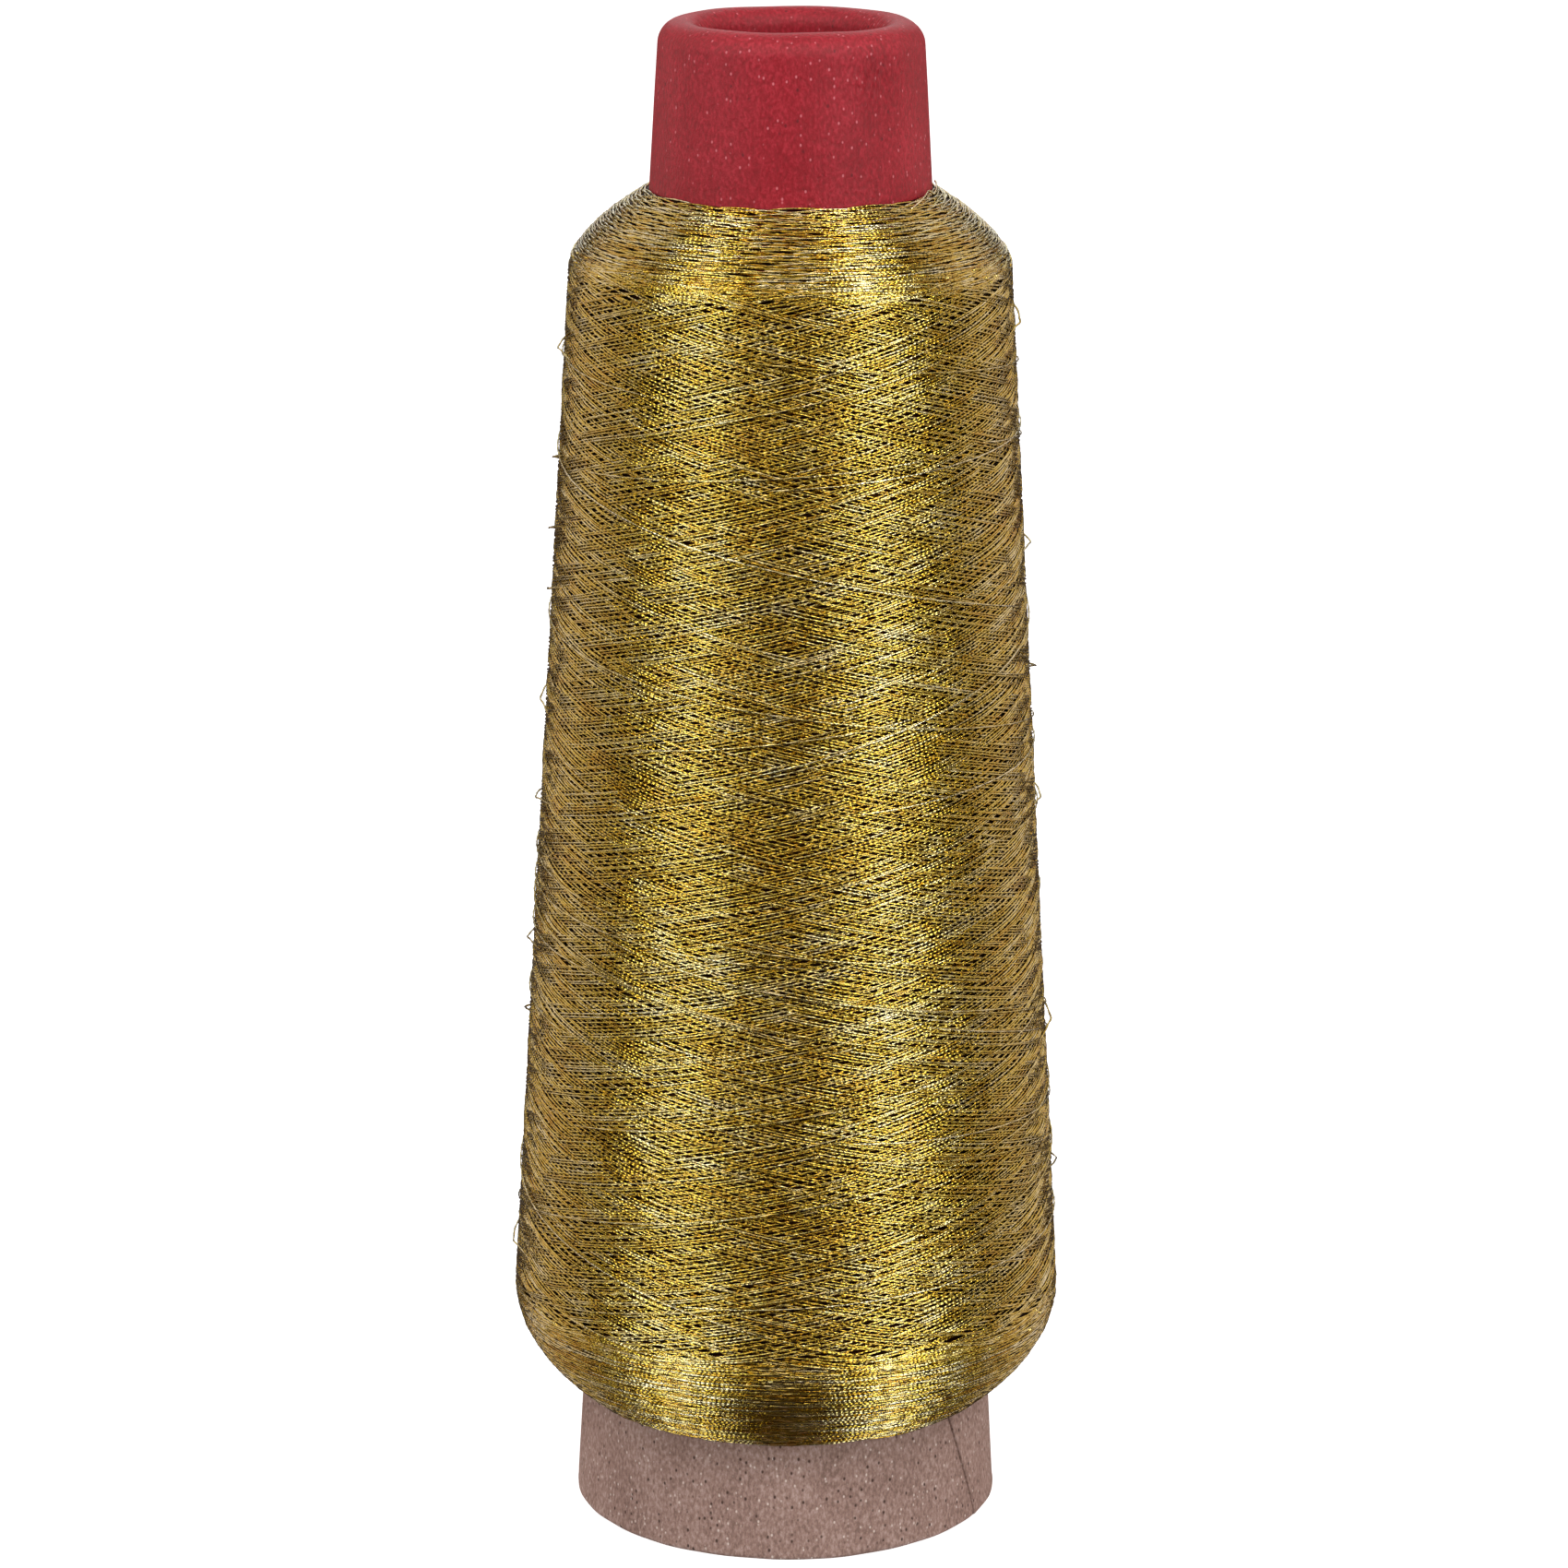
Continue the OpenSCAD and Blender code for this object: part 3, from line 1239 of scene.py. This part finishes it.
@dataclass(frozen=True)
class SoftBox:
    """A rectangular soft lamp that faces the cone."""

    name: str
    azimuth: float
    elevation: float
    distance: float
    size: tuple[float, float]
    brightness: float
    tint: str = "FFFFFF"

    def make(self, aim: Vector) -> None:
        """Hang the lamp.

        Args:
            aim: The point that it faces.
        """
        lamp = bpy.data.lights.new(self.name, "AREA")
        lamp.shape = "RECTANGLE"
        lamp.size, lamp.size_y = self.size
        # An even panel's power is its brightness times pi times its area.
        lamp.energy = self.brightness * math.pi * self.size[0] * self.size[1]
        lamp.color = linear(self.tint)[:3]
        turn, rise = math.radians(self.azimuth), math.radians(self.elevation)
        away = Vector((math.sin(turn) * math.cos(rise), -math.cos(turn) * math.cos(rise),
                       math.sin(rise)))
        holder = bpy.data.objects.new(self.name, lamp)
        holder.location = aim + away * self.distance
        holder.rotation_mode = "QUATERNION"
        holder.rotation_quaternion = (-away).to_track_quat("-Z", "Y")
        bpy.context.scene.collection.objects.link(holder)


@dataclass
class Studio:
    """The floor, the lamps and the camera."""

    lens_mm: float = 129.8
    camera_back: float = 0.6158
    camera_up: float = 0.2468
    camera_side: float = -0.00047
    tilt_down: float = 14.82
    roll: float = 0.24
    floor_size: float = 8.0
    floor_flat: float = 1.6
    floor_curve: float = 0.5
    floor_cells: int = 48
    floor_glow: float = 0.75
    aim_up: float = 0.085
    air_tint: str = "FFE4D4"
    air_glow: float = 0.07

    def floor(self) -> None:
        """Lay a plain pale floor with the faint tooth of matt paper."""
        material, tree, shader = new_material("pale_studio_paper")
        tooth = noise(tree, object_place(tree), 4.0, 3.0)
        # The paper glows a little, as on a light table, so shadows on it stay faint.
        fill(tree, shader, {
            "Base Color": colour_ramp(tree, tooth, [(0.3, "F4F4F4"), (0.7, "F8F8F8")]),
            "Roughness": 0.9,
            "Emission Color": linear("FFFFFF"),
            "Emission Strength": self.floor_glow,
        })
        # The paper lies flat round the cone and curves up towards its edges.
        cells, half = self.floor_cells, self.floor_size / 2
        steps = np.linspace(-half, half, cells + 1)
        x, y = np.meshgrid(steps, steps)
        rise = self.floor_curve * np.clip(np.hypot(x, y) - self.floor_flat, 0.0, None) ** 2
        points = np.stack([x.ravel(), y.ravel(), rise.ravel()], axis=-1)
        row, col = np.meshgrid(np.arange(cells), np.arange(cells))
        here = (row * (cells + 1) + col).ravel()
        quads = np.stack([here, here + 1, here + cells + 2, here + cells + 1], axis=-1)
        floor = mesh_piece("studio_floor", points, quads, material)
        # Only the camera sees the floor: it lights nothing and isn't mirrored in the thread.
        floor.visible_glossy = False
        floor.visible_diffuse = False
        floor.visible_shadow = False

    def lamps(self) -> None:
        """Hang the soft boxes: two tall ones in front, one over the camera, weak ones round."""
        aim = Vector((0.0, 0.0, self.aim_up))
        for lamp in (
            SoftBox("soft_box_left", -50.0, 24.0, 1.3, (0.26, 1.5), 6.4),
            SoftBox("soft_box_right", 45.0, 24.0, 1.3, (0.32, 1.5), 6.8),
            SoftBox("flank_box_left", -115.0, 16.0, 1.3, (1.3, 2.0), 0.8, "FFECE6"),
            SoftBox("flank_box_right", 115.0, 16.0, 1.3, (1.3, 2.0), 0.8, "FFECE6"),
            SoftBox("low_box_left", -62.0, -48.0, 0.9, (0.6, 0.3), 2.6),
            SoftBox("low_box_right", 62.0, -48.0, 0.9, (0.6, 0.3), 2.6),
            SoftBox("front_box", 0.0, 56.0, 1.3, (1.2, 0.3), 4.0, "FFECE6"),
            SoftBox("back_box", 180.0, 30.0, 1.3, (0.8, 1.0), 1.1),
            SoftBox("top_box", 0.0, 90.0, 1.3, (2.4, 2.4), 0.3),
        ):
            lamp.make(aim)
        world = bpy.data.worlds.new("studio_air")
        world.use_nodes = True
        background = world.node_tree.nodes["Background"]
        air = {"Color": linear(self.air_tint), "Strength": self.air_glow}
        fill(world.node_tree, background, air)
        bpy.context.scene.world = world

    def camera(self) -> None:
        """Set the camera a little above the cone's nose, looking slightly down."""
        data = bpy.data.cameras.new("camera")
        data.lens = self.lens_mm
        data.sensor_width = 36.0
        data.clip_start, data.clip_end = 0.01, 50.0
        camera = bpy.data.objects.new("camera", data)
        place = Matrix.Translation((self.camera_side, -self.camera_back, self.camera_up))
        tilt = Matrix.Rotation(math.radians(90.0 - self.tilt_down), 4, "X")
        camera.matrix_world = place @ tilt @ Matrix.Rotation(math.radians(self.roll), 4, "Z")
        bpy.context.scene.collection.objects.link(camera)
        bpy.context.scene.camera = camera

    def make(self) -> None:
        """Set up the whole studio."""
        self.camera()
        self.floor()
        self.lamps()
        bpy.context.scene.view_settings.view_transform = "Standard"
        LOG.info("studio ready")


def main() -> None:
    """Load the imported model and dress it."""
    logging.basicConfig(level=logging.INFO, format="%(name)s: %(message)s")
    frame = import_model()
    shape = ConeShape.from_frame(frame["record"])
    Studio().make()
    PaperCone(shape).make(frame["nodes"])
    ThreadPackage(shape).make(frame["nodes"])


if __name__ == "__main__":
    main()
